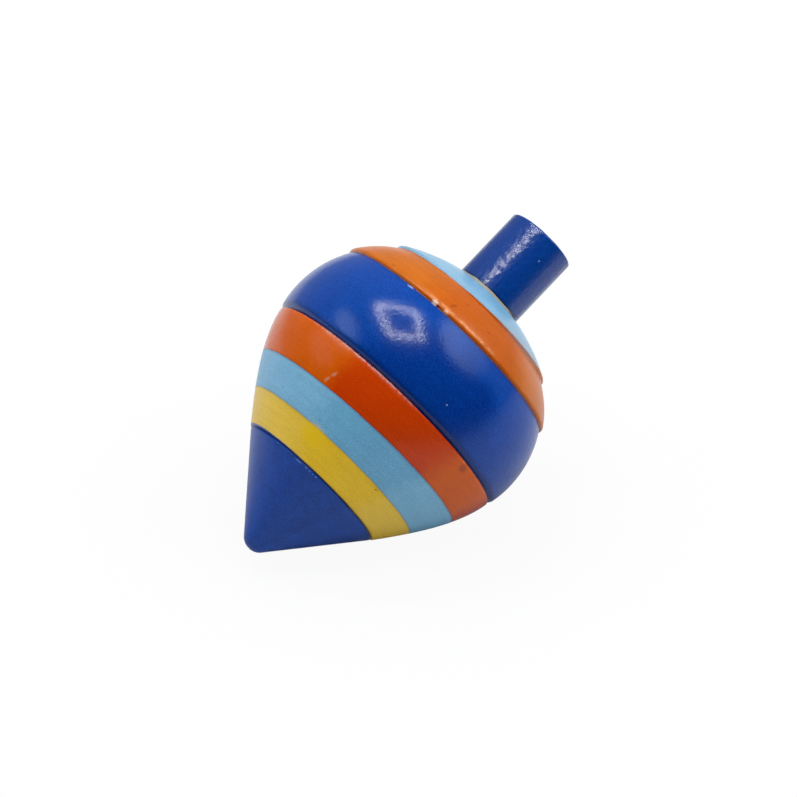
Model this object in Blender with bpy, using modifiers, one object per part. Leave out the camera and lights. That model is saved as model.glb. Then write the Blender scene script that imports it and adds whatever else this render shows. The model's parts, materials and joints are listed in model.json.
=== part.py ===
"""Wooden spinning top: a painted body turned from one block, with a dowel stem glued into its crown.

Both pieces are turned about Z with the tip at the bottom. An empty at the tip then lays the top on its
side, at the tilt where it comes to rest, with the origin on the surface below the middle of its box.
"""

import math

import bpy
import numpy as np

MM = 0.001

# Stem, a plain dowel
STEM_DIAMETER = 10.0 * MM
STEM_SHOWN = 10.8 * MM
STEM_SEATED = 15.0 * MM
STEM_END_ROUND = 0.3 * MM
STEM_FOOT_CHAMFER = 1.0 * MM

# Blind socket for the stem: a glue film round it, and room for glue below it
GLUE_FILM = 0.15 * MM
GLUE_POCKET = 0.8 * MM
DRILL_POINT_ANGLE = 118.0
SOCKET_MOUTH_CHAMFER = 0.25 * MM

# Tip and cone
TIP_RADIUS = 2.1 * MM
CONE_LENGTH = 11.75 * MM
CONE_TOP_RADIUS = 10.7 * MM
LEDGE_WIDTH = 0.35 * MM
LEDGE_STEP = 0.35 * MM
LEDGE_DEPTH = 0.12 * MM

# Flared lower body, one curve in three coats; its angles are measured from the spin axis
YELLOW_LENGTH = 4.15 * MM
LIGHT_BLUE_LENGTH = 4.45 * MM
LOWER_ORANGE_LENGTH = 5.0 * MM
FLARE_START_ANGLE = 37.4
FLARE_END_RADIUS = 18.72 * MM
FLARE_END_ANGLE = 11.3
GROOVE_WIDTH = 0.65 * MM
GROOVE_STEP = 0.23 * MM
GROOVE_DEPTH = 0.35 * MM

# Belly
BELLY_LENGTH = 10.85 * MM
BELLY_END_RADIUS = 17.45 * MM
BELLY_BULGE = 1.05 * MM
COVE_WIDTH = 0.55 * MM
COVE_STEP = 0.2 * MM
COVE_DEPTH = 0.15 * MM

# Bead above the belly
BEAD_LENGTH = 4.3 * MM
BEAD_END_RADIUS = 13.55 * MM
BEAD_BULGE = 0.31 * MM
NOTCH_WIDTH = 0.4 * MM
NOTCH_STEP = 0.35 * MM
NOTCH_DEPTH = 0.18 * MM

# Crown, a low dome with an upright rim
CROWN_RIM_HEIGHT = 0.35 * MM
CROWN_RISE = 3.4 * MM
CROWN_BULGE = 0.28 * MM

# Cut edges: how near its steep wall a groove is deepest, and how far its lips are eased
STEEP_WALL_RUN = 0.12 * MM
LIP_ROUND = 0.2 * MM

# Fineness of the turning, of the curves and of the search for the tilt in degrees
TURN_STEPS = 56
MERGE_DISTANCE = 0.01 * MM
CURVE_STEP = 0.95 * MM
ROUND_STEPS = 3
TIP_STEPS = 6
TILT_STEP = 0.01
SHARP_ANGLE = 35.0

# Paint colours as linear RGB, with their roughness
PAINTS = {
    "dark_blue_paint": ((0.006, 0.040, 0.210), 0.30),
    "yellow_paint": ((0.600, 0.390, 0.040), 0.38),
    "light_blue_paint": ((0.170, 0.350, 0.490), 0.36),
    "orange_paint": ((0.470, 0.090, 0.004), 0.32),
    "bare_wood": ((0.560, 0.400, 0.210), 0.70),
    "stem_blue_paint": ((0.006, 0.038, 0.210), 0.26),
}

# Heights up the spin axis, from the tip
CONE_TOP = CONE_LENGTH
YELLOW_BASE = CONE_TOP + LEDGE_WIDTH
YELLOW_TOP = YELLOW_BASE + YELLOW_LENGTH
LIGHT_BLUE_TOP = YELLOW_TOP + LIGHT_BLUE_LENGTH
LOWER_ORANGE_TOP = LIGHT_BLUE_TOP + LOWER_ORANGE_LENGTH
BELLY_BASE = LOWER_ORANGE_TOP + GROOVE_WIDTH
BELLY_TOP = BELLY_BASE + BELLY_LENGTH
BEAD_BASE = BELLY_TOP + COVE_WIDTH
BEAD_TOP = BEAD_BASE + BEAD_LENGTH
CROWN_BASE = BEAD_TOP + NOTCH_WIDTH
CROWN_RIM_TOP = CROWN_BASE + CROWN_RIM_HEIGHT
CROWN_TOP = CROWN_RIM_TOP + CROWN_RISE
STEM_TOP = CROWN_TOP + STEM_SHOWN
STEM_BASE = CROWN_TOP - STEM_SEATED

# Radii on the far side of each cut, which steps out or in from the near side
FLARE_START_RADIUS = CONE_TOP_RADIUS + LEDGE_STEP
BELLY_START_RADIUS = FLARE_END_RADIUS + GROOVE_STEP
BEAD_START_RADIUS = BELLY_END_RADIUS + COVE_STEP
CROWN_RADIUS = BEAD_END_RADIUS - NOTCH_STEP

STEM_RADIUS = STEM_DIAMETER / 2
SOCKET_RADIUS = STEM_RADIUS + GLUE_FILM
SOCKET_FLOOR = STEM_BASE - GLUE_POCKET
MOUTH_RADIUS = SOCKET_RADIUS + SOCKET_MOUTH_CHAMFER

# The paint on each stretch of the body, by the height where it ends
BANDS = (
    (CONE_TOP, "dark_blue_paint"),
    (YELLOW_TOP, "yellow_paint"),
    (LIGHT_BLUE_TOP, "light_blue_paint"),
    (LOWER_ORANGE_TOP, "orange_paint"),
    (BELLY_TOP, "dark_blue_paint"),
    (CROWN_RIM_TOP, "orange_paint"),
    (CROWN_TOP, "light_blue_paint"),
)


def steps_for(length):
    return max(2, round(length / CURVE_STEP))


def bulged(start, end, bulge):
    """Points on a circular arc from start to end that stands out from its chord by bulge."""
    start, end = np.array(start), np.array(end)
    chord = end - start
    length = np.hypot(*chord)
    outwards = np.array((-chord[1], chord[0])) / length
    half_turn = 2 * math.atan2(2 * bulge, length)
    radius = length / (2 * math.sin(half_turn))
    centre = (start + end) / 2 + outwards * (bulge - radius)
    middle = math.atan2(outwards[1], outwards[0])
    turns = middle + half_turn * np.linspace(1, -1, steps_for(length) + 1)
    return [tuple(centre + radius * np.array((math.cos(t), math.sin(t)))) for t in turns]


def flare_radius(height):
    """Radius of the lower body: a cubic that meets its two end radii at their two angles."""
    length = LOWER_ORANGE_TOP - YELLOW_BASE
    t = (height - YELLOW_BASE) / length
    start_slope = length * math.tan(math.radians(FLARE_START_ANGLE))
    end_slope = length * math.tan(math.radians(FLARE_END_ANGLE))
    blend = t * t * (3 - 2 * t)
    ends = FLARE_START_RADIUS * (1 - blend) + FLARE_END_RADIUS * blend
    return ends + start_slope * t * (1 - t) ** 2 - end_slope * t * t * (1 - t)


def flare():
    """Points down the lower body, with one on each line between two coats."""
    tops = (LOWER_ORANGE_TOP, LIGHT_BLUE_TOP, YELLOW_TOP, YELLOW_BASE)
    heights = [LOWER_ORANGE_TOP]
    for top, base in zip(tops, tops[1:]):
        heights.extend(np.linspace(top, base, steps_for(top - base) + 1)[1:])
    return [(flare_radius(height), height) for height in heights]


def groove_floor(upper, lower, depth, steep):
    """Deepest point of a groove between two edges, close to the edge that is its steep wall."""
    radius = min(upper[0], lower[0]) - depth
    if steep == "upper":
        return (radius, upper[1] - STEEP_WALL_RUN)
    return (radius, lower[1] + STEEP_WALL_RUN)


def tip_arc():
    """Points round the tip, from where the straight cone meets its ball down to the axis."""
    rise = CONE_TOP - TIP_RADIUS
    reach = math.hypot(CONE_TOP_RADIUS, rise)
    start = math.atan2(rise, CONE_TOP_RADIUS) - math.acos(TIP_RADIUS / reach)
    turns = np.linspace(start, -math.pi / 2, TIP_STEPS + 1)[:-1]
    round_tip = [(TIP_RADIUS * math.cos(t), TIP_RADIUS * (1 + math.sin(t))) for t in turns]
    return round_tip + [(0.0, 0.0)]


def eased(points, lips):
    """The outline with each corner in lips rounded, by at most half of the shorter edge beside it."""
    outline = []
    for index, corner in enumerate(points):
        if corner not in lips:
            outline.append(corner)
            continue
        corner = np.array(corner)
        before = np.array(points[index - 1]) - corner
        after = np.array(points[index + 1]) - corner
        cut = min(LIP_ROUND, np.hypot(*before) / 2, np.hypot(*after) / 2)
        first = corner + before * cut / np.hypot(*before)
        last = corner + after * cut / np.hypot(*after)
        for t in np.linspace(0, 1, ROUND_STEPS + 1):
            outline.append(tuple(first * (1 - t) ** 2 + corner * 2 * t * (1 - t) + last * t * t))
    return outline


def body_outline():
    """Half section of the body: up the socket, over the crown, and down the outside to the tip."""
    drill_point = SOCKET_RADIUS / math.tan(math.radians(DRILL_POINT_ANGLE / 2))
    socket = [
        (0.0, SOCKET_FLOOR - drill_point),
        (SOCKET_RADIUS, SOCKET_FLOOR),
        (SOCKET_RADIUS, CROWN_TOP - SOCKET_MOUTH_CHAMFER),
    ]
    crown = bulged((MOUTH_RADIUS, CROWN_TOP), (CROWN_RADIUS, CROWN_RIM_TOP), CROWN_BULGE)
    crown_rim = (CROWN_RADIUS, CROWN_BASE)
    bead = bulged((BEAD_END_RADIUS, BEAD_TOP), (BEAD_START_RADIUS, BEAD_BASE), BEAD_BULGE)
    belly = bulged((BELLY_END_RADIUS, BELLY_TOP), (BELLY_START_RADIUS, BELLY_BASE), BELLY_BULGE)
    lower = flare()
    cone_top = (CONE_TOP_RADIUS, CONE_TOP)
    points = [
        *socket,
        *crown,
        crown_rim,
        groove_floor(crown_rim, bead[0], NOTCH_DEPTH, "upper"),
        *bead,
        groove_floor(bead[-1], belly[0], COVE_DEPTH, "upper"),
        *belly,
        groove_floor(belly[-1], lower[0], GROOVE_DEPTH, "lower"),
        *lower,
        groove_floor(lower[-1], cone_top, LEDGE_DEPTH, "upper"),
        cone_top,
        *tip_arc(),
    ]
    return eased(points, {crown[-1], bead[0], bead[-1], belly[-1], lower[0], lower[-1]})


def stem_outline():
    """Half section of the stem: eased edge at the free end, chamfer at the foot."""
    corner = (STEM_RADIUS - STEM_END_ROUND, STEM_TOP - STEM_END_ROUND)
    turns = np.linspace(math.pi / 2, 0, ROUND_STEPS + 1)
    end_round = [
        (corner[0] + STEM_END_ROUND * math.cos(t), corner[1] + STEM_END_ROUND * math.sin(t))
        for t in turns
    ]
    return [
        (0.0, STEM_TOP),
        *end_round,
        (STEM_RADIUS, STEM_BASE + STEM_FOOT_CHAMFER),
        (STEM_RADIUS - STEM_FOOT_CHAMFER, STEM_BASE),
        (0.0, STEM_BASE),
    ]


def balance_height(outlines):
    """Height of the centre of mass of solids of one density, turned from these outlines."""
    volume = moment = 0.0
    for outline in outlines:
        radius, height = np.array(outline).T
        top, base = radius[:-1], radius[1:]
        drop = height[:-1] - height[1:]
        area = (top**2 + top * base + base**2) / 3
        volume += np.sum(drop * area)
        lever = (3 * top**2 + 2 * top * base + base**2) / 12
        moment += np.sum(drop * (height[1:] * area + drop * lever))
    return moment / volume


def rest_tilt(outlines, facet):
    """Angle of the spin axis above the surface at which the lying top has its weight lowest."""
    radius, height = np.concatenate([np.array(outline) for outline in outlines]).T
    arm = height - balance_height(outlines)
    tilts = np.radians(np.arange(0, 90, TILT_STEP))
    drops = [np.max(radius * facet * math.cos(t) - arm * math.sin(t)) for t in tilts]
    return float(tilts[int(np.argmin(drops))])


def paint(name):
    colour, roughness = PAINTS[name]
    material = bpy.data.materials.new(name)
    material.use_nodes = True
    shader = material.node_tree.nodes["Principled BSDF"]
    shader.inputs["Base Color"].default_value = (*colour, 1.0)
    shader.inputs["Roughness"].default_value = roughness
    shader.inputs["Metallic"].default_value = 0.0
    material.diffuse_color = (*colour, 1.0)
    return material


def turned(name, outline, collection, carrier):
    """A solid turned from an outline that runs down its outer side, with a flat facet underneath."""
    profile = bpy.data.meshes.new(name + "_profile")
    points = [(radius, 0.0, height) for radius, height in outline]
    profile.from_pydata(points, [(i, i + 1) for i in range(len(points) - 1)], [])
    piece = bpy.data.objects.new(name, profile)
    collection.objects.link(piece)
    screw = piece.modifiers.new("turning", "SCREW")
    screw.axis = "Z"
    screw.angle = 2 * math.pi
    screw.steps = TURN_STEPS
    screw.render_steps = TURN_STEPS
    screw.use_merge_vertices = True
    screw.merge_threshold = MERGE_DISTANCE
    graph = bpy.context.evaluated_depsgraph_get()
    solid = bpy.data.meshes.new_from_object(piece.evaluated_get(graph))
    solid.name = name
    piece.modifiers.clear()
    piece.data = solid
    bpy.data.meshes.remove(profile)
    piece.parent = carrier
    piece.rotation_euler.z = math.pi / TURN_STEPS
    return piece


def shade(piece):
    piece.data.shade_smooth()
    piece.data.set_sharp_from_angle(angle=math.radians(SHARP_ANGLE))


def band_at(centre):
    """The coat on a face of the body; the socket inside its mouth is bare wood."""
    in_socket = math.hypot(centre.x, centre.y) < MOUTH_RADIUS
    if in_socket and centre.z > SOCKET_FLOOR - SOCKET_RADIUS:
        return "bare_wood"
    return next(coat for top, coat in BANDS if centre.z <= top)


def turned_body(outline, collection, carrier):
    body = turned("turned_body", outline, collection, carrier)
    coats = ["dark_blue_paint", "yellow_paint", "light_blue_paint", "orange_paint", "bare_wood"]
    for coat in coats:
        body.data.materials.append(paint(coat))
    for face in body.data.polygons:
        face.material_index = coats.index(band_at(face.center))
    shade(body)


def stem_dowel(outline, collection, carrier):
    stem = turned("stem_dowel", outline, collection, carrier)
    stem.data.materials.append(paint("stem_blue_paint"))
    shade(stem)


def lay_down(carrier, outlines):
    """Lay the top along +X on the surface, with the middle of its box above the origin."""
    facet = math.cos(math.pi / TURN_STEPS)
    tilt = rest_tilt(outlines, facet)
    radius, height = np.concatenate([np.array(outline) for outline in outlines]).T
    along = height * math.cos(tilt)
    reach = radius * facet * math.sin(tilt)
    carrier.location.x = -(np.max(along + reach) + np.min(along - reach)) / 2
    carrier.location.z = np.max(radius * facet * math.cos(tilt) - height * math.sin(tilt))
    carrier.rotation_euler.y = math.pi / 2 - tilt


def main():
    for leftover in list(bpy.data.objects):
        bpy.data.objects.remove(leftover)
    collection = bpy.data.collections.new("spinning_top")
    bpy.context.scene.collection.children.link(collection)
    tip = bpy.data.objects.new("tip", None)
    tip.empty_display_size = TIP_RADIUS
    collection.objects.link(tip)
    outlines = (body_outline(), stem_outline())
    lay_down(tip, outlines)
    turned_body(outlines[0], collection, tip)
    stem_dowel(outlines[1], collection, tip)


main()
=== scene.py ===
import json
import math

import bpy
import numpy as np
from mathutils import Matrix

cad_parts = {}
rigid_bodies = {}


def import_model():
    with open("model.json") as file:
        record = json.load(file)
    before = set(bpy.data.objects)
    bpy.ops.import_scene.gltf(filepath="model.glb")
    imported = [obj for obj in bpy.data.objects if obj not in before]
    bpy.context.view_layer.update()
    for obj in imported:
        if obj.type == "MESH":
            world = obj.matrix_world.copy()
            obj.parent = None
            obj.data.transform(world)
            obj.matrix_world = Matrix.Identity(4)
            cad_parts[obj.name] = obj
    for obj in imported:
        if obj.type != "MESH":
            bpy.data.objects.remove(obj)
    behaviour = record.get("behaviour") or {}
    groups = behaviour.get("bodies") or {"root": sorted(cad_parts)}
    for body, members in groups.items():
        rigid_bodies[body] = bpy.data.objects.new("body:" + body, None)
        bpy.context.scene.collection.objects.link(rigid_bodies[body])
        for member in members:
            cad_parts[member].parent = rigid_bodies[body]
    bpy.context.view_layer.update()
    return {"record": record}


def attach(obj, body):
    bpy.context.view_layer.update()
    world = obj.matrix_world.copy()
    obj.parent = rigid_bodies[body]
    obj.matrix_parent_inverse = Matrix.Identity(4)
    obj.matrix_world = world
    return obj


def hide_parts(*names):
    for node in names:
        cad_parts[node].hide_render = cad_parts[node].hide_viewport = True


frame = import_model()
mm = 0.001

# the top's own frame: millimetres up the spin axis from the tip, and angle 0 on the underside
stemMount = frame["record"]["mounts"][0]
stemTop = 57.0
axisWay = np.array(stemMount["axis"]) / np.linalg.norm(stemMount["axis"])
underWay = np.array((axisWay[2], 0.0, -axisWay[0]))
sideWay = np.array((0.0, 1.0, 0.0))
tipPlace = np.array(stemMount["pos_m"]) - axisWay * stemTop * mm
axisTurn = math.atan2(axisWay[0], axisWay[2])
print("frame: tip at", tipPlace.round(5).tolist(), "leaning", round(math.degrees(axisTurn), 2))


def ownPoint(radius, height, angle):
    # a point of the top's own frame: radius times cosine and sine of the angle, then the height
    return np.stack(np.broadcast_arrays(radius * np.cos(angle), radius * np.sin(angle), height), -1)


def placed(ownPoints):
    # own frame to the scene: tip plus each coordinate times its own direction
    return tipPlace + mm * (ownPoints @ np.stack((underWay, sideWay, axisWay)))


def ease(share):
    # smooth step: 3 t squared less 2 t cubed
    return share * share * (3 - 2 * share)


def turnAngles(count):
    # equal angles round one full turn
    return np.linspace(0, 2 * np.pi, count, endpoint=False)


def ringNoise(along, around, cellsAlong, cellsAround, seed):
    # smooth random values from -1 to 1: lattice corners drawn once, eased between, closed round the turn
    corners = np.random.default_rng(seed).uniform(-1, 1, (cellsAlong + 2, cellsAround))
    up, on = np.broadcast_arrays(along * cellsAlong, around * cellsAround)
    row, column = np.floor(up).astype(int), np.floor(on).astype(int)
    rise, run = ease(up - row), ease(on - column)
    left, right = column % cellsAround, (column + 1) % cellsAround
    low = corners[row, left] * (1 - run) + corners[row, right] * run
    high = corners[row + 1, left] * (1 - run) + corners[row + 1, right] * run
    return low * (1 - rise) + high * rise


def runLength(points):
    # length along a line of points, from its first
    return np.concatenate(((0.0,), np.cumsum(np.hypot(*np.diff(points, axis=0).T))))


def arcRun(start, end, bulge, count=60):
    # circular arc between two ends that stands out from its chord by the bulge
    start, end = np.array(start), np.array(end)
    chord = end - start
    length = np.hypot(*chord)
    outwards = np.array((-chord[1], chord[0])) / length
    halfTurn = 2 * math.atan2(2 * bulge, length)
    radius = length / (2 * math.sin(halfTurn))
    centre = (start + end) / 2 + outwards * (bulge - radius)
    turns = math.atan2(outwards[1], outwards[0]) + halfTurn * np.linspace(1, -1, count)
    return centre + radius * np.stack((np.cos(turns), np.sin(turns)), 1)


def roundedEnd(run, reach, radius, lastAngle, count=24):
    # the run cut short by this reach, then turned inwards on a small arc to the last angle
    length = runLength(run)
    kept = run[length < length[-1] - reach]
    way = kept[-1] - kept[-2]
    turns = np.linspace(math.atan2(way[0], -way[1]), math.radians(lastAngle), count)
    arc = radius * np.stack((np.cos(turns), np.sin(turns)), 1)
    return np.concatenate((kept, kept[-1] + arc[1:] - arc[0]))


def evenSteps(points, step):
    # the same line with points at equal steps along it
    length = runLength(points)
    places = np.linspace(0, length[-1], int(length[-1] / step) + 1)
    return np.stack([np.interp(places, length, column) for column in points.T], 1)


def softened(points, reach, step):
    # each point becomes the bell-weighted mean of its neighbours; both ends are mirrored across the axis
    side = int(4 * reach / step)
    bell = np.exp(-0.5 * (np.arange(-side, side + 1) * step / reach) ** 2)
    flip = np.array((-1.0, 1.0))
    padded = np.concatenate((points[side:0:-1] * flip, points, points[-2:-side - 2:-1] * flip))
    return np.stack([np.convolve(column, bell / bell.sum(), "valid") for column in padded.T], 1)


def outlineWays(points):
    # outward normal of the line, and how fast the line turns, positive where it bulges
    ways = np.gradient(points, axis=0)
    ways = ways / np.maximum(np.hypot(*ways.T), 1e-12)[:, None]
    outwards = np.stack((-ways[:, 1], ways[:, 0]), 1)
    turning = -np.gradient(np.unwrap(np.arctan2(ways[:, 1], ways[:, 0])))
    return outwards, turning


# rows of a turned piece: a row per this length or this turn, and fewer where nobody looks
rowPacking = {"flatStep": 0.42, "turnStep": 0.09, "hiddenShare": 0.12}


def packedRows(length, turning, hidden, form):
    # rows stand closer where the outline turns; hidden stretches get few
    crowd = form["step"] / rowPacking["flatStep"] + np.abs(turning) / rowPacking["turnStep"]
    crowd = np.where(hidden, crowd * rowPacking["hiddenShare"], crowd)
    count = np.concatenate(((0.0,), np.cumsum(crowd[1:])))
    return np.interp(np.linspace(0, count[-1], form["rows"]), count, length)


def latheGrid(outline, hidden, form):
    # a way to carry outline values to the rows, each row's share of the outline, and the column angles
    length = runLength(outline)
    places = packedRows(length, outlineWays(outline)[1], hidden, form)

    def onRows(values):
        return np.interp(places, length, values)[:, None]

    return onRows, (places / length[-1])[:, None], turnAngles(form["columns"])[None, :]


def swollen(outline, onRows, angle, swell):
    # the outline moved along its outward normal by the swell, but for its ends, and carried round the turn
    outwards = outlineWays(outline)[0]
    swell[(0, -1), :] = 0.0
    radius = onRows(outline[:, 0]) + swell * onRows(outwards[:, 0])
    height = onRows(outline[:, 1]) + swell * onRows(outwards[:, 1])
    return ownPoint(radius, height, angle)


def newPiece(name, points, faces, material):
    mesh = bpy.data.meshes.new(name)
    mesh.from_pydata(points.tolist(), [], faces)
    mesh.shade_smooth()
    mesh.materials.append(material)
    piece = bpy.data.objects.new(name, mesh)
    bpy.context.scene.collection.objects.link(piece)
    return piece


def latheMesh(name, own, material):
    # rows run down the outline, columns round the turn; the first and last rows close to one point each
    rows, columns = own.shape[:2]
    inner = own[1:-1].reshape(-1, 3)
    points = placed(np.concatenate((own[0, :1], inner, own[-1, :1])))
    index = 1 + np.arange((rows - 2) * columns).reshape(rows - 2, columns)
    nextOne = np.roll(index, -1, 1)
    quads = np.stack((index[:-1], index[1:], nextOne[1:], nextOne[:-1]), -1).reshape(-1, 4)
    first = np.stack((np.zeros_like(index[0]), index[0], nextOne[0]), -1)
    last = np.stack((index[-1], np.full_like(index[-1], len(points) - 1), nextOne[-1]), -1)
    return newPiece(name, points, first.tolist() + quads.tolist() + last.tolist(), material)


def giveNumbers(piece, name, grid):
    # one number per point, kept with the mesh for its paint to read
    flat = np.concatenate((grid[0, :1], grid[1:-1].ravel(), grid[-1, :1]))
    attribute = piece.data.attributes.new(name, "FLOAT", "POINT")
    attribute.data.foreach_set("value", flat.astype(np.float32))


class Wire:
    # a shader socket that takes part in Python sums; each sum adds a Math node
    def __init__(self, tree, socket=None):
        self.tree = tree
        self.socket = socket

    def make(self, kind, settings=None, sockets=None, output=0):
        # any node: its type, its settings, then the values or links of its sockets
        node = self.tree.nodes.new("ShaderNode" + kind)
        for key, value in (settings or {}).items():
            setattr(node, key, value)
        for key, value in (sockets or {}).items():
            if isinstance(value, Wire):
                value.feed(node, key)
            else:
                node.inputs[key].default_value = value
        return Wire(self.tree, node.outputs[output])

    def feed(self, node, name):
        self.tree.links.new(self.socket, node.inputs[name])

    def reckon(self, operation, *values):
        return self.make("Math", {"operation": operation}, dict(enumerate(values)))

    def __add__(self, other):
        return self.reckon("ADD", self, other)

    def __radd__(self, other):
        return self.reckon("ADD", other, self)

    def __sub__(self, other):
        return self.reckon("SUBTRACT", self, other)

    def __rsub__(self, other):
        return self.reckon("SUBTRACT", other, self)

    def __mul__(self, other):
        return self.reckon("MULTIPLY", self, other)

    def __rmul__(self, other):
        return self.reckon("MULTIPLY", other, self)

    def __truediv__(self, other):
        return self.reckon("DIVIDE", self, other)

    def __rtruediv__(self, other):
        return self.reckon("DIVIDE", other, self)

    def root(self):
        return self.reckon("SQRT", self)

    def step(self, low, high):
        # 0 below low, 1 above high, eased between
        settings = {"interpolation_type": "SMOOTHSTEP"}
        return self.make("MapRange", settings, {"Value": self, "From Min": low, "From Max": high})

    def mix(self, first, second):
        # a colour between two, with this socket as the share of the second
        sockets = {0: self, 6: asColour(first), 7: asColour(second)}
        return self.make("Mix", {"data_type": "RGBA"}, sockets, 2)

    def level(self, first, second):
        # a number between two, with this socket as the share of the second
        return self.make("Mix", {"data_type": "FLOAT"}, {0: self, 2: first, 3: second})

    def vector(self, operation, other=None, output=0):
        # vector maths on this place or colour, and on another where one is given
        sockets = {0: self} if other is None else {0: self, 1: other}
        return self.make("VectorMath", {"operation": operation}, sockets, output)

    def dot(self, way):
        return self.vector("DOT_PRODUCT", tuple(way), 1)

    def length(self):
        return self.vector("LENGTH", None, 1)

    def scaled(self, amount):
        # a colour or place times one number
        return self.make("VectorMath", {"operation": "SCALE"}, {0: self, "Scale": amount})

    def gritty(self, speckle, amount):
        # a colour plus the same small grey speckle in all three channels, never below black
        grit = speckle * amount
        grey = self.make("CombineXYZ", {}, {0: grit, 1: grit, 2: grit})
        return self.vector("ADD", grey).vector("MAXIMUM", (0.0, 0.0, 0.0))

    def noise(self, scale, detail=2.0, stretch=(1.0, 1.0, 1.0)):
        # cloudy noise from 0 to 1 at this place; scale is in cells per millimetre
        place = self.vector("MULTIPLY", stretch)
        return self.make("TexNoise", {}, {"Vector": place, "Scale": scale, "Detail": detail})

    def uneven(self, *cells):
        # the same noise about 0
        return self.noise(*cells) - 0.5

    def readNumber(self, name):
        return self.make("Attribute", {"attribute_name": name}, {}, 2)


def asColour(value):
    return value if isinstance(value, Wire) else (*value, 1.0)


def newMaterial(name):
    material = bpy.data.materials.new(name)
    material.use_nodes = True
    return material, Wire(material.node_tree), material.node_tree.nodes["Principled BSDF"]


def ownPlace(wire):
    # object coordinates turned into the top's own frame, in millimetres
    seen = wire.make("TexCoord", {}, {}, "Object")
    sockets = {
        "Vector": seen, "Location": tuple(tipPlace), "Rotation": (0.0, axisTurn, 0.0),
        "Scale": (mm, mm, mm),
    }
    return wire.make("Mapping", {"vector_type": "TEXTURE"}, sockets)


def axisHeight(place):
    # height above the tip along the spin axis
    return place.make("SeparateXYZ", {}, {0: place}, 2)


def axisDistance(place):
    # distance from the spin axis
    return place.vector("MULTIPLY", (1.0, 1.0, 0.0)).length()


def facing(place, radius, angle, fade, slant=0.0, level=0.0):
    # 1 on the side that faces this angle, fading between two cosines; a slant widens it above its level
    turned = math.radians(angle)
    cosine = place.dot((math.cos(turned), math.sin(turned), 0.0)) / radius
    if slant:
        cosine = cosine + (place.dot((0.0, 0.0, 1.0)) - level) * slant
    return cosine.step(*fade)


# edge of a mark: how ragged, at how many cells per millimetre, and from which share of its size it fades
markEdge = {"ragged": 0.9, "cells": 4.0, "fade": (0.35, 1.0)}


def spotAt(place, radius, height, angle, length, width, slant):
    # patch on the surface: 1 in its middle, 0 past a ragged oval of this length round the turn and width up
    turned, lean = math.radians(angle), math.radians(slant)
    middle = (radius * math.cos(turned), radius * math.sin(turned), height)
    around = np.array((-math.sin(turned), math.cos(turned), 0.0))
    upwards = np.array((0.0, 0.0, 1.0))
    longWay = around * math.cos(lean) + upwards * math.sin(lean)
    shortWay = upwards * math.cos(lean) - around * math.sin(lean)
    away = place.vector("SUBTRACT", middle)
    far = away.dot(longWay / length)
    off = away.dot(shortWay / width)
    depth = away.dot(np.cross(longWay, shortWay) / max(length, width))
    reach = (far * far + off * off + depth * depth).root()
    reach = reach + place.uneven(markEdge["cells"]) * markEdge["ragged"]
    return 1 - reach.step(*markEdge["fade"])


def addMarks(place, colour, marks, radiusAt):
    # each mark: its colour, then for each spot height, angle, length, width, slant and strength
    for mark in marks:
        for height, angle, length, width, slant, strength in mark["spots"]:
            spot = spotAt(place, radiusAt(height), height, angle, length, width, slant)
            colour = (spot * strength).mix(colour, mark["colour"])
    return colour


def addShader(shader, finish, colour, roughness, skin):
    # constant finish values sit on the shader itself; what varies is linked
    shader.inputs["Specular IOR Level"].default_value = finish["specular"]
    bump = skin.make("Bump", {}, {"Height": skin, "Distance": finish["bump"]})
    for name, value in (("Base Color", colour), ("Roughness", roughness), ("Normal", bump)):
        value.feed(shader, name)


# turned body; noise cells are given along the outline and round the turn, with a seed
bodyForm = {
    "columns": 384, "rows": 252, "step": 0.02, "hiddenDepth": 1.0,
    "coneTop": 11.75, "coneRadius": 10.7, "tipRadius": 2.1,
    "flareBase": 12.1, "flareTop": 25.9, "flareStart": 11.05, "flareEnd": 18.76,
    "flareStartAngle": 37.4, "flareEndAngle": 11.3, "ledgeDepth": 0.12,
    "bellyBase": 26.58, "bellyTop": 37.2, "bellyStart": 19.0, "bellyEnd": 17.45, "bellyBulge": 1.01,
    "grooveDepth": 0.35, "grooveRun": 0.22, "coveDepth": 0.19, "coveRun": 0.26,
    "notchDepth": 0.1, "steepRun": 0.12,
    "beadBase": 37.75, "beadTop": 42.05, "beadStart": 17.65, "beadEnd": 13.55, "beadBulge": 0.31,
    "beadPoints": 200, "lipReach": 0.58, "lipRound": 0.42, "lipTurn": -62.0,
    "crownBase": 42.45, "crownRim": 42.8, "crownTop": 45.98, "crownRadius": 13.2, "crownBulge": 0.34,
    "mouth": 5.4, "socket": 5.15, "mouthChamfer": 0.25, "socketFloor": 30.4, "drillPoint": 3.1,
    "edgeSoft": 0.055, "outOfRound": 0.025, "ovalTurn": 0.8, "ripple": 0.006, "rippleCells": (70, 5, 7),
    "chipDepth": 0.14, "chipReach": 0.2, "fineNicks": (3, 140, 21), "coarseNicks": (3, 30, 22),
    "coarseShare": 0.6, "nickFrom": 0.55, "wearFrom": 0.7,
    # painted shade in the cuts: its softening and gain, its share in the cove, and none near the bead's top
    "hollowSoft": 0.14, "hollowGain": 0.55, "coveBelow": 1.0, "coveShare": 0.12, "openBelow": 0.5,
}
# places where the turner left an edge rounder: radius and height, softening, reach along the outline
softPlaces = (
    {"at": (12.95, 42.3), "soft": 0.16, "reach": 0.5},
    {"at": (18.7, 25.8), "soft": 0.13, "reach": 0.35},
    {"at": (18.9, 26.5), "soft": 0.24, "reach": 0.45},
)
# lips that lose paint first: radius, height and how much
wornLips = (
    {"at": (18.72, 26.02), "amount": 0.55},
    {"at": (17.38, 38.15), "amount": 0.45},
    {"at": (13.2, 42.75), "amount": 0.5},
    {"at": (10.7, 11.75), "amount": 0.5},
)
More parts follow.
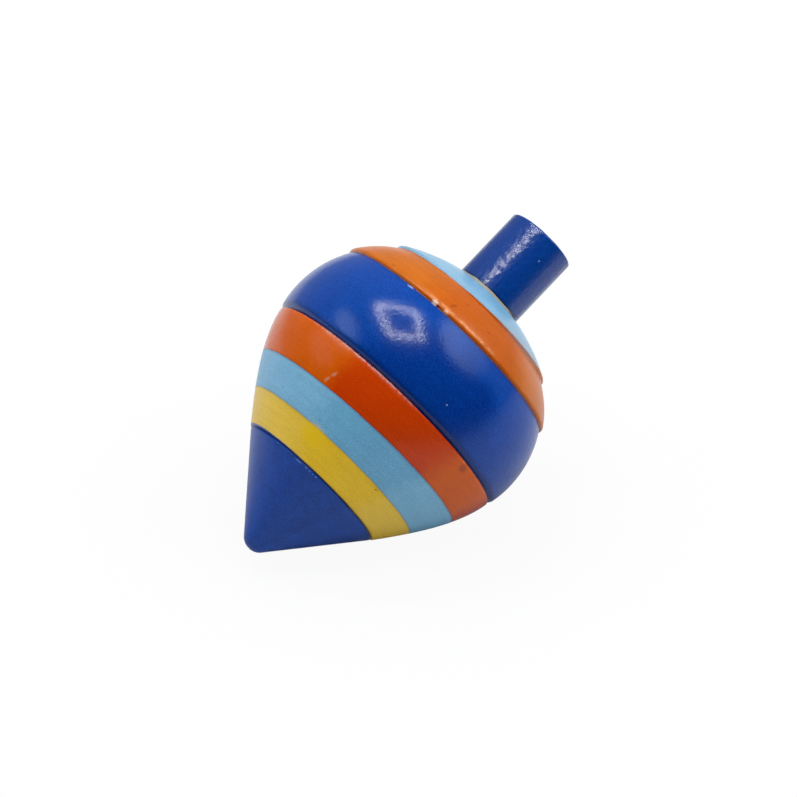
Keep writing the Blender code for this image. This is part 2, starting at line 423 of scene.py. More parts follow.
# lips with a painted highlight on one side: reach along the outline, the middle of that side, and the
# cosines between which the painted highlight sets in
glintLips = (
    {"at": (18.72, 25.98), "reach": 0.21, "side": -156.0, "from": 0.84, "full": 0.97},
    {"at": (17.25, 38.34), "reach": 0.24, "side": -139.0, "from": 0.90, "full": 0.985},
)


def flareRun(form, count=160):
    # cubic in the height that meets both end radii at their two angles from the spin axis
    share = np.linspace(1, 0, count)
    length = form["flareTop"] - form["flareBase"]
    startSlope = length * math.tan(math.radians(form["flareStartAngle"]))
    endSlope = length * math.tan(math.radians(form["flareEndAngle"]))
    radius = form["flareStart"] + (form["flareEnd"] - form["flareStart"]) * ease(share)
    radius = radius + startSlope * share * (1 - share) ** 2 - endSlope * share * share * (1 - share)
    return np.stack((radius, form["flareBase"] + length * share), 1)


def tipRun(form, count=40):
    # ball tangent to the straight cone, from where they meet down to the axis
    ball = form["tipRadius"]
    rise = form["coneTop"] - ball
    reach = math.hypot(form["coneRadius"], rise)
    start = math.atan2(rise, form["coneRadius"]) - math.acos(ball / reach)
    turns = np.linspace(start, -math.pi / 2, count)
    return np.stack((ball * np.cos(turns), ball + ball * np.sin(turns)), 1)


def bodyOutline(form):
    # half section: up the socket, over the crown, down the outside to the tip
    def at(radius, height):
        return form[radius], form[height]

    bulge, count, steep = form["beadBulge"], form["beadPoints"], form["steepRun"]
    bead = arcRun(at("beadEnd", "beadTop"), at("beadStart", "beadBase"), bulge, count)
    return np.concatenate((
        [(0.0, form["socketFloor"] - form["drillPoint"]), at("socket", "socketFloor")],
        [(form["socket"], form["crownTop"] - form["mouthChamfer"])],
        arcRun(at("mouth", "crownTop"), at("crownRadius", "crownRim"), form["crownBulge"]),
        [at("crownRadius", "crownBase")],
        [(form["crownRadius"] - form["notchDepth"], form["crownBase"] - steep)],
        roundedEnd(bead, form["lipReach"], form["lipRound"], form["lipTurn"]),
        [(form["bellyEnd"] - form["coveDepth"], form["beadBase"] - form["coveRun"])],
        arcRun(at("bellyEnd", "bellyTop"), at("bellyStart", "bellyBase"), form["bellyBulge"]),
        [(form["flareEnd"] - form["grooveDepth"], form["flareTop"] + form["grooveRun"])],
        flareRun(form),
        [(form["coneRadius"] - form["ledgeDepth"], form["flareBase"] - steep)],
        [at("coneRadius", "coneTop")],
        tipRun(form),
    ))


def bellAt(length, outline, radius, height, reach):
    # 1 at the point of the outline nearest to this place, falling off along it
    middle = length[np.argmin(np.hypot(outline[:, 0] - radius, outline[:, 1] - height))]
    return np.exp(-((length - middle) / reach) ** 2)


def softOutline(form):
    # even outline with small edge rounding, and more of it at the places that ask for it
    step = form["step"]
    sharp = evenSteps(bodyOutline(form), step)
    length = runLength(sharp)
    outline = softened(sharp, form["edgeSoft"], step)
    for spot in softPlaces:
        share = bellAt(length, sharp, *spot["at"], spot["reach"])
        outline = outline + (softened(sharp, spot["soft"], step) - outline) * share[:, None]
    outline[(0, -1), 0] = 0.0
    return outline


def glintSide(lip, angle):
    # 1 on the side of the lip that carries its painted highlight, eased in between two cosines
    turned = np.cos(angle - math.radians(lip["side"])) - lip["from"]
    return ease(np.clip(turned / (lip["full"] - lip["from"]), 0, 1))


def hollowness(form, outline):
    # inward turning per millimetre, softened, as the share of painted shade in the cuts; little of it in
    # the cove, none from the bead's top up
    turning, height = outlineWays(outline)[1], outline[:, 1]
    soft = softened(np.stack((turning, turning), 1), form["hollowSoft"], form["step"])[:, 0]
    hollow = np.clip(-soft / form["step"] * form["hollowGain"], 0, 1)
    hollow = hollow * np.where(height > form["bellyTop"] - form["coveBelow"], form["coveShare"], 1.0)
    return hollow * (height < form["beadTop"] - form["openBelow"])


def buildBody(form, outline, material):
    length = runLength(outline)
    hidden = length < length[np.argmax(outline[:, 1])] - form["hiddenDepth"]
    onRows, along, angle = latheGrid(outline, hidden, form)
    around = angle / (2 * np.pi)

    def lipRows(lip, reach):
        return onRows(bellAt(length, outline, *lip["at"], reach))

    # lips: a bell along the outline at each edge that wears, and nicks where noise runs high
    lips = sum(lipRows(lip, form["chipReach"]) * lip["amount"] for lip in wornLips)
    nicks = ringNoise(along, around, *form["fineNicks"])
    nicks = nicks + form["coarseShare"] * ringNoise(along, around, *form["coarseNicks"])
    nicks = np.clip(nicks - form["nickFrom"], 0, 1)
    # height over the outline: slightly out of round, faint tool ripple, less what the lips have lost
    swell = form["outOfRound"] * np.cos(2 * angle + form["ovalTurn"])
    swell = swell + form["ripple"] * ringNoise(along, around, *form["rippleCells"])
    swell = swell - form["chipDepth"] * lips * nicks
    swell = np.where(onRows(hidden) > 0.5, 0.0, swell)
    body = latheMesh("paintedBody", swollen(outline, onRows, angle, swell), material)
    giveNumbers(body, "lipWear", lips * (form["wearFrom"] + nicks))
    # painted highlights on one side of two lips
    lipGlint = sum(lipRows(lip, lip["reach"]) * glintSide(lip, angle) for lip in glintLips)
    giveNumbers(body, "lipGlint", lipGlint)
    # share of painted shade in the cuts
    giveNumbers(body, "cutShade", onRows(hollowness(form, outline)) * np.ones_like(angle))
    return body


# coats of the body from the tip up: colour and its paler state, which carries painted sheen and painted
# light, where it pales, roughness, crinkle, grain, and the height where the coat ends, with its seam and
# its lean along the underside and side directions
coats = {
    "cone": {
        "colour": (0.0006, 0.035, 0.215), "pale": (0.004, 0.042, 0.245), "fade": "soft",
        "rough": 0.32, "crinkle": 0.35, "grain": 1.2, "top": 12.08, "seam": 0.0, "lean": (-0.003, 0.012),
    },
    "yellow": {
        "colour": (0.620, 0.390, 0.011), "pale": (0.620, 0.412, 0.044), "fade": "soft",
        "rough": 0.34, "crinkle": 0.2, "grain": 0.45, "top": 16.04, "seam": 0.22, "lean": (0.0, 0.005),
    },
    "lightBlue": {
        "colour": (0.113, 0.304, 0.466), "pale": (0.154, 0.347, 0.504), "fade": "soft",
        "rough": 0.36, "crinkle": 0.25, "grain": 0.7, "top": 20.63, "seam": 0.3, "lean": (0.0145, -0.011),
    },
    "lowerOrange": {
        "colour": (0.420, 0.034, 0.0002), "pale": (0.485, 0.078, 0.001), "fade": "crisp",
        "rough": 0.18, "crinkle": 0.25, "grain": 0.45, "top": 26.03, "seam": 0.0, "lean": (0.0, 0.0),
    },
    "belly": {
        "colour": (0.0002, 0.0251, 0.178), "pale": (0.001, 0.040, 0.240), "fade": "upper",
        "rough": 0.19, "crinkle": 1.0, "grain": 1.2, "top": 37.6, "seam": 0.2, "lean": (0.0, 0.0),
    },
    "bead": {
        "colour": (0.395, 0.074, 0.0003), "pale": (0.432, 0.102, 0.002), "fade": "soft",
        "rough": 0.3, "crinkle": 0.16, "grain": 0.6, "top": 42.65, "seam": 0.1, "lean": (0.01515, -0.01515),
    },
    "crown": {
        "colour": (0.144, 0.311, 0.454), "pale": (0.184, 0.340, 0.470), "fade": "rim",
        "rough": 0.32, "crinkle": 0.25, "grain": 0.6,
    },
}
bodyFinish = {
    "specular": 0.27, "bump": 0.000016, "ringBump": 0.25, "speckleRough": 0.08, "wornRough": 0.25,
    # noises: cells per millimetre, detail, and stretch where there is one
    "wobble": (0.45, 1.0), "fuzz": (5.0, 2.0), "cloud": (0.35, 3.0), "speckle": (6.5, 1.0),
    "rings": (2.4, 2.0, (0.07, 0.07, 1.0)), "blotch": (0.8, 3.0), "patchy": (1.5, 2.0), "chafe": (2.6, 3.0),
    "skin": (2.6, 0.6),
    # lines between coats, then shares of each noise in the colour; blotches are on the cone alone
    "lineSoft": 0.07, "lineWobble": 0.09, "seamWidth": 0.2,
    "cloudShade": 0.12, "ringShade": 0.2, "blotchShade": 0.6, "blotchEnd": (11.0, 13.0), "grit": 0.012,
    # where coats are paler with painted sheen and painted light: angles with cosines to fade between, and
    # heights on the belly and crown
    "leftAngle": -196.0, "leftFade": (0.6, 0.97), "crispFade": (0.74, 0.88), "crispSlant": (0.009, 23.0),
    "rightAngle": -80.0, "rightFade": (0.86, 1.0), "rightShare": 0.95, "cloudShare": 0.7,
    "upperFade": (32.5, 36.5), "upperShare": 0.7, "rimFade": (43.1, 44.0),
    # painted shade in the cuts and along the belly's foot
    "grooveShade": 0.62,
    "footFrom": (26.2, 26.4), "footTo": (26.7, 27.4), "footLevel": 0.8, "footShade": 0.38,
    # painted highlights along two lips, and paint worn off the lips
    "lowerLipGlint": (0.44, 0.25, 0.21), "beadLipGlint": (0.61, 0.235, 0.08), "glintChange": (30.0, 31.0),
    "patchLevel": 0.55, "patchSpread": 2.0,
    "paleWear": (0.62, 0.40, 0.27), "chafeSpread": 1.3, "wornFade": (0.58, 0.85), "wornShare": 0.6,
    # ring on the crown round the stem, worn paint with painted shade, and bare wood in the socket
    "wearAndShadeColour": (0.33, 0.31, 0.22), "wearAndShadeRing": (6.2, 8.0), "wearAndShadeFrom": (43.5, 44.5), "wearAndShadeWobble": 0.8,
    "wearAndShadeShare": 0.8, "bareWood": (0.62, 0.44, 0.26), "socketWall": (5.2, 5.34), "socketFoot": (27.0, 27.2),
}
# marks on the body: marks of use, a few painted glints and a painted shade
bodyMarks = (
    {"colour": (0.50, 0.54, 0.60), "spots": ((29.0, -119.2, 0.15, 0.15, 0, 0.42),)},  # speck on the belly
    {"colour": (0.22, 0.034, 0.003), "spots": (  # scuffs on the bead
        (39.34, -144.7, 0.95, 0.32, 62, 0.6),
        (40.96, -140.9, 0.34, 0.30, 0, 0.65),
        (40.08, -124.4, 0.40, 0.22, 20, 0.65),
        (38.48, -179.3, 0.40, 0.22, 0, 0.5),
    )},
    {"colour": (0.46, 0.20, 0.12), "spots": (  # scratches on the lower orange
        (21.20, -163.3, 0.64, 0.32, 62, 0.65),
        (22.20, -161.6, 0.62, 0.34, 60, 0.6),
    )},
    {"colour": (0.10, 0.022, 0.010), "spots": ((25.2, -92.4, 1.0, 0.7, 0, 0.5),)},  # smudges on it
    {"colour": (0.14, 0.018, 0.004), "spots": ((21.60, -122.1, 0.3, 0.16, 0, 0.5),)},
    {"colour": (0.10, 0.055, 0.012), "spots": ((15.61, -107.1, 0.22, 0.16, 30, 0.9),)},  # on the yellow
    {"colour": (0.03, 0.07, 0.10), "spots": (  # flecks on the light blue
        (16.93, -155.5, 0.2, 0.14, 0, 0.6),
        (17.28, 174.4, 0.2, 0.14, 0, 0.6),
    )},
    {"colour": (0.64, 0.41, 0.0005), "spots": ((15.0, -154.0, 2.8, 1.8, 0, 0.75),)},  # thicker yellow
    {"colour": (0.24, 0.27, 0.29), "spots": ((43.1, -98.0, 7.0, 1.3, 0, 0.5),)},  # painted shade on the crown's right side
    {"colour": (0.30, 0.36, 0.64), "spots": ((37.42, -164.4, 0.70, 0.15, 0, 0.8),)},  # chips at the cove
    {"colour": (0.62, 0.48, 0.38), "spots": ((37.88, -151.3, 0.60, 0.45, 0, 0.95),)},
    {"colour": (0.04, 0.01, 0.03), "spots": ((37.75, -149.3, 0.34, 0.28, 0, 0.9),)},
    {"colour": (0.66, 0.42, 0.26), "spots": ((37.95, -144.9, 0.50, 0.36, 0, 0.85),)},
    {"colour": (0.11, 0.16, 0.46), "spots": (  # painted glints along the cone's edge
        (11.62, -153.6, 0.80, 0.10, 0, 0.9),
        (11.62, -146.3, 0.26, 0.12, 0, 0.8),
        (11.62, -142.9, 0.18, 0.12, 0, 0.8),
        (11.60, -139.6, 0.18, 0.12, 0, 0.8),
    )},
    # one more painted glint on the cone's edge
    {"colour": (0.12, 0.19, 0.46), "spots": ((11.58, -136.8, 0.18, 0.13, 0, 1.0),)},
)


def paintedSheenPlaces(place, radius, height, cloud, finish):
    # painted sheen and painted light make the coats paler on the left and right sides and near some coats'
    # edges; clouds add random paleness
    left = finish["leftAngle"]
    right = facing(place, radius, finish["rightAngle"], finish["rightFade"]) * finish["rightShare"]
    right = right + cloud * finish["cloudShare"]
    both = facing(place, radius, left, finish["leftFade"]) + right
    shares = {
        "soft": both,
        "upper": both + height.step(*finish["upperFade"]) * finish["upperShare"],
        "rim": both + 1 - height.step(*finish["rimFade"]),
        "crisp": facing(place, radius, left, finish["crispFade"], *finish["crispSlant"]) + right,
    }
    return {name: share.step(0.0, 1.0) for name, share in shares.items()}


def layCoats(place, height, sheenShares, speckle, finish):
    # coats laid one over the other up the axis, each past its own slightly leaning and wavy line
    wavy = (place.uneven(*finish["wobble"]) + place.uneven(*finish["fuzz"])) * finish["lineWobble"]
    soft, far, near = finish["lineSoft"], finish["seamWidth"], finish["seamWidth"] / 2
    below, seams = None, 0.0
    for coat in coats.values():
        # each coat turns to its paler state where painted sheen and painted light fall
        shade = sheenShares[coat["fade"]].mix(coat["colour"], coat["pale"]).scaled(1 + speckle * coat["grain"])
        if below is None:
            colour, rough, crinkle = shade, coat["rough"], coat["crinkle"]
        else:
            line, top = height - place.dot((*below["lean"], 0.0)) + wavy, below["top"]
            seam = line.step(top - far, top - near) - line.step(top + near, top + far)
            seams = seam * below["seam"] + seams
            past = line.step(top - soft, top + soft)
            colour = past.mix(colour, shade)
            rough = past.level(rough, coat["rough"])
            crinkle = past.level(crinkle, coat["crinkle"])
        below = coat
    return colour, rough, crinkle, seams


def bodyMaterial(finish, outline):
    material, wire, shader = newMaterial("bandedPaint")
    place = ownPlace(wire)
    height, radius = axisHeight(place), axisDistance(place)
    # cloudy brush marks, fine speckle and rings left by the lathe
    cloud, speckle, rings = (place.uneven(*finish[name]) for name in ("cloud", "speckle", "rings"))
    # shares of painted sheen and painted light that make each coat paler
    sheenShares = paintedSheenPlaces(place, radius, height, cloud, finish)
    colour, rough, crinkle, seams = layCoats(place, height, sheenShares, speckle, finish)
    blotch = place.uneven(*finish["blotch"]) * (1 - height.step(*finish["blotchEnd"]))
    shade = 1 + cloud * finish["cloudShade"] + rings * finish["ringShade"]
    shade = shade + blotch * finish["blotchShade"] - seams
    colour = colour.scaled(shade).gritty(speckle, finish["grit"])
    # painted shade in the cuts and along the belly's foot
    colour = colour.scaled(1 - wire.readNumber("cutShade") * finish["grooveShade"])
    foot = height.step(*finish["footFrom"]) - height.step(*finish["footTo"])
    colour = colour.scaled(1 - foot * (finish["footLevel"] + cloud) * finish["footShade"])
    # patchy painted highlights along two lips, pale wood where a lip is worn, then single marks
    patchy = finish["patchLevel"] + place.uneven(*finish["patchy"]) * finish["patchSpread"]
    glintColour = height.step(*finish["glintChange"]).mix(finish["lowerLipGlint"], finish["beadLipGlint"])
    colour = (wire.readNumber("lipGlint") * patchy.step(0.0, 1.0)).mix(colour, glintColour)
    worn = wire.readNumber("lipWear") + place.uneven(*finish["chafe"]) * finish["chafeSpread"]
    worn = worn.step(*finish["wornFade"])
    colour = (worn * finish["wornShare"]).mix(colour, finish["paleWear"])
    outside = outline[np.argmax(outline[:, 1]):][::-1]
    colour = addMarks(place, colour, bodyMarks, lambda level: float(np.interp(level, *outside.T[::-1])))
    # round the stem the crown's paint is worn and carries painted shade, and the socket has none
    wearAndShade = 1 - (radius + cloud * finish["wearAndShadeWobble"]).step(*finish["wearAndShadeRing"])
    wearAndShade = wearAndShade * height.step(*finish["wearAndShadeFrom"]) * finish["wearAndShadeShare"]
    colour = wearAndShade.mix(colour, finish["wearAndShadeColour"])
    inSocket = (1 - radius.step(*finish["socketWall"])) * height.step(*finish["socketFoot"])
    colour = inSocket.mix(colour, finish["bareWood"])
    rough = rough + speckle * finish["speckleRough"] + worn * finish["wornRough"]
    # crinkled skin of the paint, with the rings under it
    skin = place.noise(*finish["skin"]) * crinkle + rings * finish["ringBump"]
    addShader(shader, finish, colour, rough, skin)
    return material


bodyLine = softOutline(bodyForm)
body = buildBody(bodyForm, bodyLine, bodyMaterial(bodyFinish, bodyLine))
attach(body, "root")
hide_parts("turned_body")
print("body:", len(body.data.polygons), "faces")

# stem
stemForm = {
    "columns": 160, "rows": 150, "step": 0.02, "hiddenDepth": 1.0,
    "radius": 5.0, "base": 31.2, "footChamfer": 1.0, "endRound": 0.34, "endDome": 0.06, "edgeSoft": 0.06,
    "grain": 0.012, "grainCells": (6, 46, 31), "outOfRound": 0.012, "ovalTurn": -0.5, "endFade": 4,
}
stemFinish = {
    "colour": (0.0002, 0.030, 0.180), "rough": 0.225, "specular": 0.54, "bump": 0.000044,
    # noises: cells per millimetre, detail, and stretch where there is one
    "cloud": (0.5, 3.0), "speckle": (5.5, 1.0), "grain": (3.0, 2.0, (1.0, 1.0, 0.12)),
    "skin": (2.0, 0.6, (1.0, 1.0, 0.75)),
    "cloudShade": 0.14, "speckleShade": 0.75, "grainShade": 0.14, "grit": 0.012,
    "speckleRough": 0.08, "grainBump": 0.3,
    # painted shadow at the stem's foot: heights it fades between, its wobble and its depth
    "stainAndShadowFade": (46.15, 46.75), "baseShadowWobble": 0.3, "baseShadowDepth": 0.75,
}
stemMarks = (
    {"colour": (0.50, 0.54, 0.60), "spots": ((53.65, -117.4, 0.15, 0.15, 0, 0.42),)},  # speck
)


def stemOutline(form, edgePoints=24, facePoints=30):
    # half section: slightly domed end, rounded edge, straight wall, chamfered foot
    soft, dome, base = form["endRound"], form["endDome"], form["base"]
    inner, edge = form["radius"] - soft, stemTop - soft
    turns = np.linspace(math.pi / 2, 0, edgePoints)
    drop = dome * np.linspace(1, 0, edgePoints)
    roundEdge = np.stack((inner + soft * np.cos(turns), edge + soft * np.sin(turns) - drop), 1)
    across = np.linspace(0, inner, facePoints)
    face = np.stack((across, stemTop - dome * (across / inner) ** 2), 1)
    foot = [
        (form["radius"], base + form["footChamfer"]),
        (form["radius"] - form["footChamfer"], base),
        (0.0, base),
    ]
    return np.concatenate((face, roundEdge[1:], foot))


def buildStem(form, material):
    outline = softened(evenSteps(stemOutline(form), form["step"]), form["edgeSoft"], form["step"])
    outline[(0, -1), 0] = 0.0
    hidden = outline[:, 1] < bodyForm["crownTop"] - form["hiddenDepth"]
    onRows, along, angle = latheGrid(outline, hidden, form)
    # height over the outline: long grain ridges and a slightly oval section, less of both near the axis
    swell = form["grain"] * ringNoise(along, angle / (2 * np.pi), *form["grainCells"])
    swell = swell + form["outOfRound"] * np.cos(2 * angle + form["ovalTurn"])
    swell = swell * np.clip(onRows(outline[:, 0]) / form["radius"], 0, 1) ** form["endFade"]
    return latheMesh("paintedStem", swollen(outline, onRows, angle, swell), material)


def stemMaterial(finish):
    material, wire, shader = newMaterial("stemPaint")
    place = ownPlace(wire)
    cloud, speckle, grain = (place.uneven(*finish[name]) for name in ("cloud", "speckle", "grain"))
    colour = wire.make("RGB")
    colour.socket.default_value = asColour(finish["colour"])
    shade = 1 + cloud * finish["cloudShade"] + speckle * finish["speckleShade"]
    colour = colour.scaled(shade + grain * finish["grainShade"]).gritty(speckle, finish["grit"])
    # painted shadow where the stem leaves the crown
    height = axisHeight(place) + cloud * finish["baseShadowWobble"]
    colour = colour.scaled(1 - (1 - height.step(*finish["stainAndShadowFade"])) * finish["baseShadowDepth"])
    colour = addMarks(place, colour, stemMarks, lambda level: stemForm["radius"])
    rough = finish["rough"] + speckle * finish["speckleRough"]
    addShader(shader, finish, colour, rough, place.noise(*finish["skin"]) + grain * finish["grainBump"])
    return material


stem = buildStem(stemForm, stemMaterial(stemFinish))
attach(stem, "root")
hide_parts("stem_dowel")
print("stem:", len(stem.data.polygons), "faces")

# bead of glue that fills the corner between the stem and the crown
glueForm = {
    "columns": 192, "rows": 14, "ring": 5.12, "height": 45.98, "tube": 0.25,
    "unevenness": 0.04, "climb": 0.03, "unevenCells": (1, 34, 51),
}
glueFinish = {
    # colour of the glue, and its dark state that holds painted shadow and stains
    "colour": (0.26, 0.235, 0.16), "stainAndShadow": (0.06, 0.055, 0.05), "specular": 0.3, "bump": 0.00002,
    "skin": 4.0, "rough": 0.45, "stainRough": 0.1, "litCleanAngle": -154.0, "litCleanFade": (0.2, 0.9),
    "stainAndShadowCells": (1.1, 2.0), "stainAndShadowSpread": 1.4, "stainAndShadowLevel": 0.9, "stainAndShadowFade": (0.2, 0.8),
}


def buildGlue(form, material):
    # closed ring with a round section whose size and height vary round the turn
    turn = turnAngles(form["columns"])[None, :]
    section = turnAngles(form["rows"])[:, None]
    uneven = ringNoise(np.zeros((1, 1)), turn / (2 * np.pi), *form["unevenCells"])
    tube = form["tube"] + form["unevenness"] * uneven
    radius = form["ring"] + tube * np.cos(section)
    height = form["height"] + form["climb"] * uneven + tube * np.sin(section)
    points = placed(ownPoint(radius, height, turn).reshape(-1, 3))
    index = np.arange(form["rows"] * form["columns"]).reshape(form["rows"], form["columns"])
    nextRow, nextColumn = np.roll(index, -1, 0), np.roll(index, -1, 1)
    quads = np.stack((index, nextColumn, np.roll(nextRow, -1, 1), nextRow), -1).reshape(-1, 4)
    return newPiece("glueFillet", points, quads.tolist(), material)


def glueMaterial(finish):
    # pale glue on the lit side; on the other, painted shadow with stained patches
    material, wire, shader = newMaterial("driedGlue")
    place = ownPlace(wire)
    litClean = facing(place, axisDistance(place), finish["litCleanAngle"], finish["litCleanFade"])
    stainedAndShaded = place.uneven(*finish["stainAndShadowCells"]) * finish["stainAndShadowSpread"] + finish["stainAndShadowLevel"] - litClean
    stainedAndShaded = stainedAndShaded.step(*finish["stainAndShadowFade"])
    colour = stainedAndShaded.mix(finish["colour"], finish["stainAndShadow"])
    rough = finish["rough"] + stainedAndShaded * finish["stainRough"]
    addShader(shader, finish, colour, rough, place.noise(finish["skin"]))
    return material


glue = buildGlue(glueForm, glueMaterial(glueFinish))
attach(glue, "root")
print("glue:", len(glue.data.polygons), "faces")

# studio: pale floor, square lamp frame overhead, wide fills, and a dim tent with a few bright ovals;
# floor directions and frame corners are given along the camera's right and away directions
studio = {
    "floorSize": 4.0, "floorDrop": 0.00004, "floorRough": 0.9,
    # floor colours: painted shade under the top, the floor's own colour, and painted shade far away
    "underShadeColour": (0.44, 0.44, 0.44), "floorColour": (0.55, 0.55, 0.55), "farShadeColour": (0.06, 0.06, 0.06),
    "nearFade": (0.012, 0.04), "sideFade": (0.12, 0.35),
    "frontWay": (0.3, -0.95), "frontFade": (0.033, 0.135),
    "cameraShare": 0.94, "whiteFade": (0.03, 0.06), "glossyShare": 0.0,
    "frameHeight": 0.6, "barWidth": 0.018, "frameShine": 40.0,
    "frameCorners": ((-0.149, 0.112), (0.146, 0.079), (0.171, -0.187), (-0.092, -0.194)),
    "frontShine": 0.02, "backShine": 0.365, "backWay": (-0.15, 0.99), "backFade": (0.1, 0.7),
    "highShine": 0.06, "highFade": (0.45, 0.85), "ovalColour": (0.82, 0.95, 1.1), "ovalSide": (0.0, 0.2),
}
cameraPlace = {
    "azimuth": -36.73, "elevation": 32.013, "distance": 0.556, "lens": 189.76, "sensor": 36.0,
    "aimUp": 28.69, "nudgeRight": 0.11, "nudgeUp": -0.895, "clip": (0.05, 20.0),
}
viewTurn = math.radians(cameraPlace["azimuth"])
viewRise = math.radians(cameraPlace["elevation"])
skyWay = np.array((0.0, 0.0, 1.0))
rightWay = np.array((math.cos(viewTurn), math.sin(viewTurn), 0.0))
awayWay = np.array((-math.sin(viewTurn), math.cos(viewTurn), 0.0))
lookWay = awayWay * math.cos(viewRise) - skyWay * math.sin(viewRise)
upWay = awayWay * math.sin(viewRise) + skyWay * math.cos(viewRise)


def floorWay(right, away):
    # direction along the floor from its shares to the camera's right and away from it
    return right * rightWay + away * awayWay


def buildFloor(form):
    material, wire, shader = newMaterial("paleFloor")
    shader.inputs["Roughness"].default_value = form["floorRough"]
    shader.inputs["Specular IOR Level"].default_value = 0.0
    glow = wire.make("Emission", {}, {"Color": (1.0, 1.0, 1.0, 1.0), "Strength": 1.0})
    straight = wire.make("LightPath", {}, {}, "Is Camera Ray")
    glossy = wire.make("LightPath", {}, {}, "Is Glossy Ray")
    through = wire.make("LightPath", {}, {}, "Is Transmission Ray")
    seen = wire.make("TexCoord", {}, {}, "Object")
    # the floor's colour holds painted shade: greyer under the top, and darker towards the camera and far to
    # its right, where its light falls off
    away = seen.length()
    pale = away.step(*form["nearFade"]).mix(form["underShadeColour"], form["floorColour"])
    front = seen.dot(floorWay(*form["frontWay"])).step(*form["frontFade"])
    fall = front + seen.dot(rightWay).step(*form["sideFade"]) * (1 - front)
    fall.mix(pale, form["farShadeColour"]).feed(shader, "Base Color")
    # the camera sees mostly white, with some of the shadow near the top
    share = away.step(*form["whiteFade"]).level(form["cameraShare"], 1.0)
    share = (straight + through) * share + glossy * form["glossyShare"]
    blended = wire.make("MixShader", {}, {0: share, 1: Wire(wire.tree, shader.outputs[0]), 2: glow})
    blended.feed(wire.tree.nodes["Material Output"], "Surface")
    half, drop = form["floorSize"] / 2, -form["floorDrop"]
    corners = ((-half, -half, drop), (half, -half, drop), (half, half, drop), (-half, half, drop))
    return newPiece("paleFloor", np.array(corners), [(0, 1, 2, 3)], material)


def addLamp(name, place, aim, width, length, shine, turn=0.0):
    # flat lamp of this size that faces its aim; four times area times shine gives its power
    lamp = bpy.data.lights.new(name, "AREA")
    lamp.shape = "RECTANGLE"
    lamp.size, lamp.size_y = width, length
    lamp.energy = 4 * width * length * shine
    carrier = bpy.data.objects.new(name, lamp)
    bpy.context.scene.collection.objects.link(carrier)
    toAim = np.array(aim) - np.array(place)
    flat = math.hypot(toAim[0], toAim[1])
    bearing = math.atan2(toAim[1], toAim[0]) - math.pi / 2 if flat > 1e-6 else turn
    carrier.rotation_euler = (math.pi / 2 - math.atan2(-toAim[2], flat), 0.0, bearing)
    carrier.location = tuple(place)
    carrier.visible_camera = False
    return carrier


def addFrameLamp(form):
    # four slim bars from corner to corner overhead
    corners = np.array([floorWay(*corner) for corner in form["frameCorners"]])
    corners[:, 2] = form["frameHeight"]
    for number, (start, end) in enumerate(zip(corners, np.roll(corners, -1, 0))):
        run, middle = end - start, (start + end) / 2
        length, turn = np.hypot(run[0], run[1]), math.atan2(run[1], run[0])
        addLamp(f"bar{number}", middle, middle - skyWay, length, form["barWidth"], form["frameShine"], turn)


# wide fills that soften shading and stay out of reflections
fills = (
    {"name": "leftFill", "bearing": -185.0, "rise": 12.0, "shine": 1.5},
    {"name": "rightFill", "bearing": -74.0, "rise": 4.0, "shine": 2.95},
    {"name": "topFill", "bearing": 54.0, "rise": 65.0, "shine": 1.65},
)
fillForm = {"away": 0.7, "width": 0.6, "height": 0.5, "aim": (0.0, 0.0, 0.02)}


def wayTo(bearing, rise):
    # unit direction by bearing from +X and rise above the floor
    bearing, rise = math.radians(bearing), math.radians(rise)
    flat = math.cos(rise)
    return np.array((flat * math.cos(bearing), flat * math.sin(bearing), math.sin(rise)))


def addFill(fill, form):
    aim = np.array(form["aim"])
    place = aim + wayTo(fill["bearing"], fill["rise"]) * form["away"]
    lamp = addLamp(fill["name"], place, aim, form["width"], form["height"], fill["shine"])
    lamp.visible_glossy = False
    lamp.data.cycles.use_multiple_importance_sampling = False  # else bounced rays bring it into the gloss


# bright ovals of the tent: direction, half width and half height as sines, brightness, where they fade,
# and for one the upward share between which it brightens
ovals = (
    {"bearing": 143.0, "rise": 47.2, "half": (0.29, 0.15), "shine": 2.9, "fade": (0.55, 1.3)},
    {"bearing": -36.0, "rise": 38.5, "half": (0.39, 0.355), "shine": 4.7, "fade": (0.84, 1.08),
     "lift": (0.07, 1.0)},
    {"bearing": -21.0, "rise": 10.0, "half": (0.35, 0.4), "shine": 0.3, "fade": (0.9, 1.1)},
    {"bearing": 142.0, "rise": 27.5, "half": (0.29, 0.15), "shine": 0.9, "fade": (0.8, 1.1)},
)


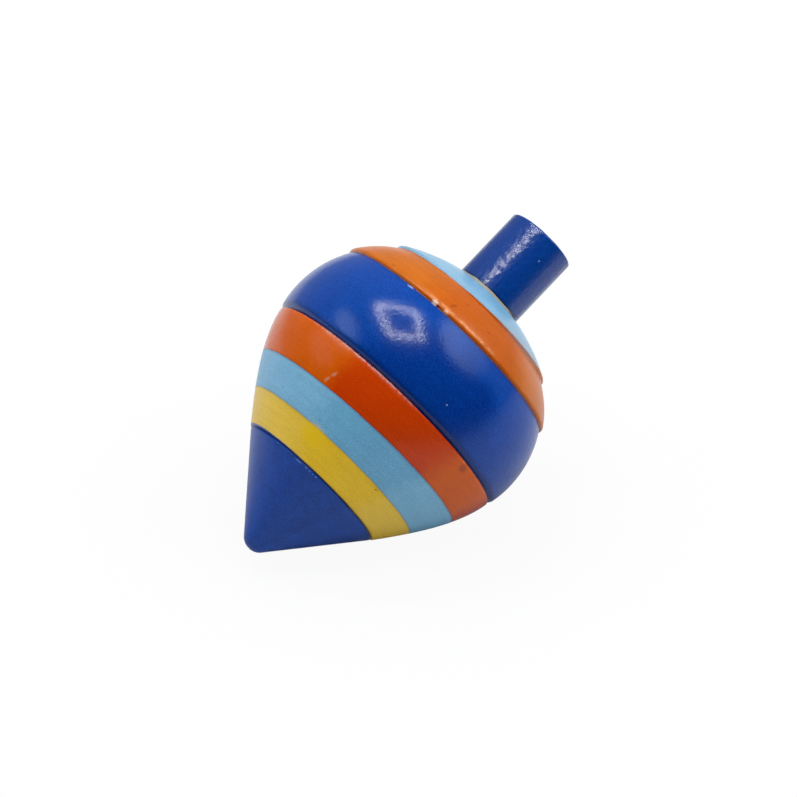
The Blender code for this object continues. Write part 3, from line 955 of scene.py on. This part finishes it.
def ovalGlow(seen, oval, form):
    # brightness that fades with the distance from the oval's middle, measured in its two half sizes
    way = wayTo(oval["bearing"], oval["rise"])
    across = wayTo(oval["bearing"] + 90.0, 0.0)
    far = seen.dot(across / oval["half"][0])
    off = seen.dot(np.cross(way, across) / oval["half"][1])
    near = 1 - (far * far + off * off).root().step(*oval["fade"])
    glow = near * seen.dot(way).step(*form["ovalSide"]) * oval["shine"]  # none on the far side
    return glow * seen.dot(skyWay).step(*oval["lift"]) if "lift" in oval else glow


def setWorld(form):
    # dim tent: dark on the camera's side, brighter behind; white only where the camera looks straight at it
    world = bpy.data.worlds.new("dimTent")
    bpy.context.scene.world = world
    world.use_nodes = True
    wire = Wire(world.node_tree)
    seen = wire.make("TexCoord", {}, {}, "Generated")
    behind = seen.dot(floorWay(*form["backWay"])).step(*form["backFade"])
    above = seen.dot(skyWay).step(*form["highFade"])
    dim = behind.level(form["frontShine"], form["backShine"] + above * form["highShine"])
    bright = sum(ovalGlow(seen, oval, form) for oval in ovals)
    camera = wire.make("LightPath", {}, {}, "Is Camera Ray")
    straight = camera + wire.make("LightPath", {}, {}, "Is Transmission Ray")
    tint = (bright / (dim + bright)).mix((1.0, 1.0, 1.0), form["ovalColour"])
    shader = world.node_tree.nodes["Background"]
    straight.mix(tint, (1.0, 1.0, 1.0)).feed(shader, "Color")
    straight.level(dim + bright, 1.0).feed(shader, "Strength")


def addCamera(form):
    # the camera looks at a point up the spin axis, nudged across the view
    aim = axisWay * form["aimUp"] + rightWay * form["nudgeRight"] + upWay * form["nudgeUp"]
    lens = bpy.data.cameras.new("photoCamera")
    lens.lens, lens.sensor_width = form["lens"], form["sensor"]
    lens.clip_start, lens.clip_end = form["clip"]
    camera = bpy.data.objects.new("photoCamera", lens)
    camera.location = tuple(tipPlace + mm * aim - lookWay * form["distance"])
    camera.rotation_euler = (math.pi / 2 - viewRise, 0.0, viewTurn)
    bpy.context.scene.collection.objects.link(camera)
    bpy.context.scene.camera = camera


buildFloor(studio)
addFrameLamp(studio)
for fill in fills:
    addFill(fill, fillForm)
setWorld(studio)
addCamera(cameraPlace)
bpy.context.scene.view_settings.view_transform = "Standard"
print("studio: lamps", len(studio["frameCorners"]) + len(fills))
